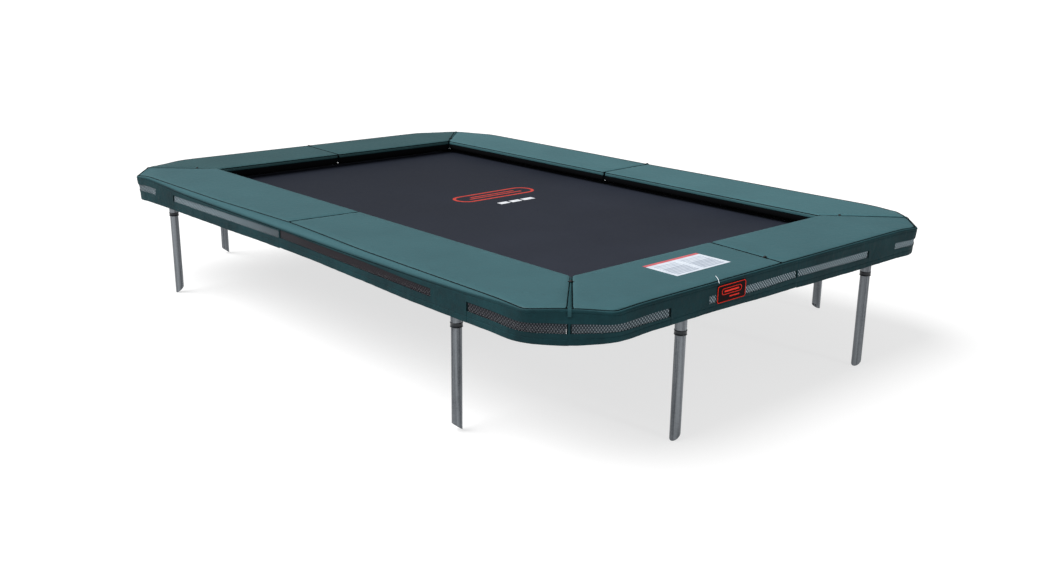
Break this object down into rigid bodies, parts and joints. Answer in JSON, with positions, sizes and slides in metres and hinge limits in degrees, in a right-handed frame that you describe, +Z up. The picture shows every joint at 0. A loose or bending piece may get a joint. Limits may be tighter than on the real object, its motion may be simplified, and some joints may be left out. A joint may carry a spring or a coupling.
{
  "type": "trampoline",
  "caption": "Low rectangular garden trampoline: sprung jump mat in a tube frame with padded edge, hanging fabric skirt with mesh vents, and pointed legs that push into the ground.",
  "frame": {"origin": "on the ground, under the centre of the trampoline, at the level of the leg tips", "axes": "+X along the long side, +Y across it towards the back, +Z up"},
  "size_m": [3.8453, 2.588, 0.6309],
  "materials": {
    "galvanised_tube": "dull hot-dip galvanised, faint vertical streaks",
    "spring_steel": "bright zinc-plated spring wire",
    "bolt_zinc": "zinc-plated",
    "pad_cover": "satin coated tarpaulin over foam, grey-teal",
    "skirt_fabric": "coated tarpaulin, dark teal, soft satin",
    "vent_mesh": "open black mesh",
    "mat_weave": "woven monofilament, near-black blue grey, slight sheen",
    "hem_webbing": "black polyester webbing",
    "label_vinyl": "blank pale printed vinyl with one red stripe",
    "badge_rubber": "blank dark red patch with a raised border",
    "mat_print": "plain matte ink mark on the mat"
  },
  "bodies": {
    "root": {"corner_frame_front_left": "galvanised_tube", "leg_front_left_long": "galvanised_tube", "leg_bolt_front_left_long": "bolt_zinc", "pad_front_left_long": "pad_cover", "skirt_front_left_long": "skirt_fabric", "vent_mesh_front_left_long": "vent_mesh", "leg_front_left_end": "galvanised_tube", "leg_bolt_front_left_end": "bolt_zinc", "pad_front_left_end": "pad_cover", "skirt_front_left_end": "skirt_fabric", "vent_mesh_front_left_end": "vent_mesh", "corner_frame_front_right": "galvanised_tube", "leg_front_right_long": "galvanised_tube", "leg_bolt_front_right_long": "bolt_zinc", "pad_front_right_long": "pad_cover", "skirt_front_right_long": "skirt_fabric", "vent_mesh_front_right_long": "vent_mesh", "leg_front_right_end": "galvanised_tube", "leg_bolt_front_right_end": "bolt_zinc", "pad_front_right_end": "pad_cover", "skirt_front_right_end": "skirt_fabric", "vent_mesh_front_right_end": "vent_mesh", "corner_frame_back_right": "galvanised_tube", "leg_back_right_long": "galvanised_tube", "leg_bolt_back_right_long": "bolt_zinc", "pad_back_right_long": "pad_cover", "skirt_back_right_long": "skirt_fabric", "vent_mesh_back_right_long": "vent_mesh", "leg_back_right_end": "galvanised_tube", "leg_bolt_back_right_end": "bolt_zinc", "pad_back_right_end": "pad_cover", "skirt_back_right_end": "skirt_fabric", "vent_mesh_back_right_end": "vent_mesh", "corner_frame_back_left": "galvanised_tube", "leg_back_left_long": "galvanised_tube", "leg_bolt_back_left_long": "bolt_zinc", "pad_back_left_long": "pad_cover", "skirt_back_left_long": "skirt_fabric", "vent_mesh_back_left_long": "vent_mesh", "leg_back_left_end": "galvanised_tube", "leg_bolt_back_left_end": "bolt_zinc", "pad_back_left_end": "pad_cover", "skirt_back_left_end": "skirt_fabric", "vent_mesh_back_left_end": "vent_mesh", "rail_front": "galvanised_tube", "rail_back": "galvanised_tube", "rail_left": "galvanised_tube", "rail_right": "galvanised_tube", "label_patch": "label_vinyl", "badge_patch": "badge_rubber"},
    "mat": {"jump_mat": "mat_weave", "mat_hem": "hem_webbing"},
    "springs_corner_front_left": {"springs_corner_front_left": "spring_steel"},
    "springs_corner_front_right": {"springs_corner_front_right": "spring_steel"},
    "springs_corner_back_right": {"springs_corner_back_right": "spring_steel"},
    "springs_corner_back_left": {"springs_corner_back_left": "spring_steel"},
    "springs_front": {"springs_front": "spring_steel"},
    "springs_back": {"springs_back": "spring_steel"},
    "springs_left": {"springs_left": "spring_steel"},
    "springs_right": {"springs_right": "spring_steel"}
  },
  "joints": [
    {"name": "mat_bounce", "type": "slide", "parent": "root", "child": "mat", "axis": [0, 0, 1], "range_m": [-0.12, 0.012], "stiffness_N_per_m": 6000},
    {"name": "springs_front_tilt", "type": "hinge", "parent": "root", "child": "springs_front", "pos_m": [0, -1.2408, 0.572], "axis": [1, 0, 0], "range_deg": [-30, 6]},
    {"name": "springs_back_tilt", "type": "hinge", "parent": "root", "child": "springs_back", "pos_m": [0, 1.2408, 0.572], "axis": [-1, 0, 0], "range_deg": [-30, 6]},
    {"name": "springs_left_tilt", "type": "hinge", "parent": "root", "child": "springs_left", "pos_m": [-1.8688, 0, 0.572], "axis": [0, -1, 0], "range_deg": [-30, 6]},
    {"name": "springs_right_tilt", "type": "hinge", "parent": "root", "child": "springs_right", "pos_m": [1.8688, 0, 0.572], "axis": [0, 1, 0], "range_deg": [-30, 6]},
    {"name": "springs_corner_front_left_tilt", "type": "hinge", "parent": "root", "child": "springs_corner_front_left", "pos_m": [-1.76752, -1.13952, 0.572], "axis": [0.7071, -0.7071, 0], "range_deg": [-30, 6]},
    {"name": "springs_corner_front_right_tilt", "type": "hinge", "parent": "root", "child": "springs_corner_front_right", "pos_m": [1.76752, -1.13952, 0.572], "axis": [0.7071, 0.7071, 0], "range_deg": [-30, 6]},
    {"name": "springs_corner_back_right_tilt", "type": "hinge", "parent": "root", "child": "springs_corner_back_right", "pos_m": [1.76752, 1.13952, 0.572], "axis": [-0.7071, 0.7071, 0], "range_deg": [-30, 6]},
    {"name": "springs_corner_back_left_tilt", "type": "hinge", "parent": "root", "child": "springs_corner_back_left", "pos_m": [-1.76752, 1.13952, 0.572], "axis": [-0.7071, -0.7071, 0], "range_deg": [-30, 6]}
  ],
  "couplings": [
    {"joint": "springs_front_tilt", "follows": "mat_bounce", "rad_per_m": 3.9062},
    {"joint": "springs_back_tilt", "follows": "mat_bounce", "rad_per_m": 3.9062},
    {"joint": "springs_left_tilt", "follows": "mat_bounce", "rad_per_m": 3.9062},
    {"joint": "springs_right_tilt", "follows": "mat_bounce", "rad_per_m": 3.9062},
    {"joint": "springs_corner_front_left_tilt", "follows": "mat_bounce", "rad_per_m": 3.9062},
    {"joint": "springs_corner_front_right_tilt", "follows": "mat_bounce", "rad_per_m": 3.9062},
    {"joint": "springs_corner_back_right_tilt", "follows": "mat_bounce", "rad_per_m": 3.9062},
    {"joint": "springs_corner_back_left_tilt", "follows": "mat_bounce", "rad_per_m": 3.9062}
  ]
}
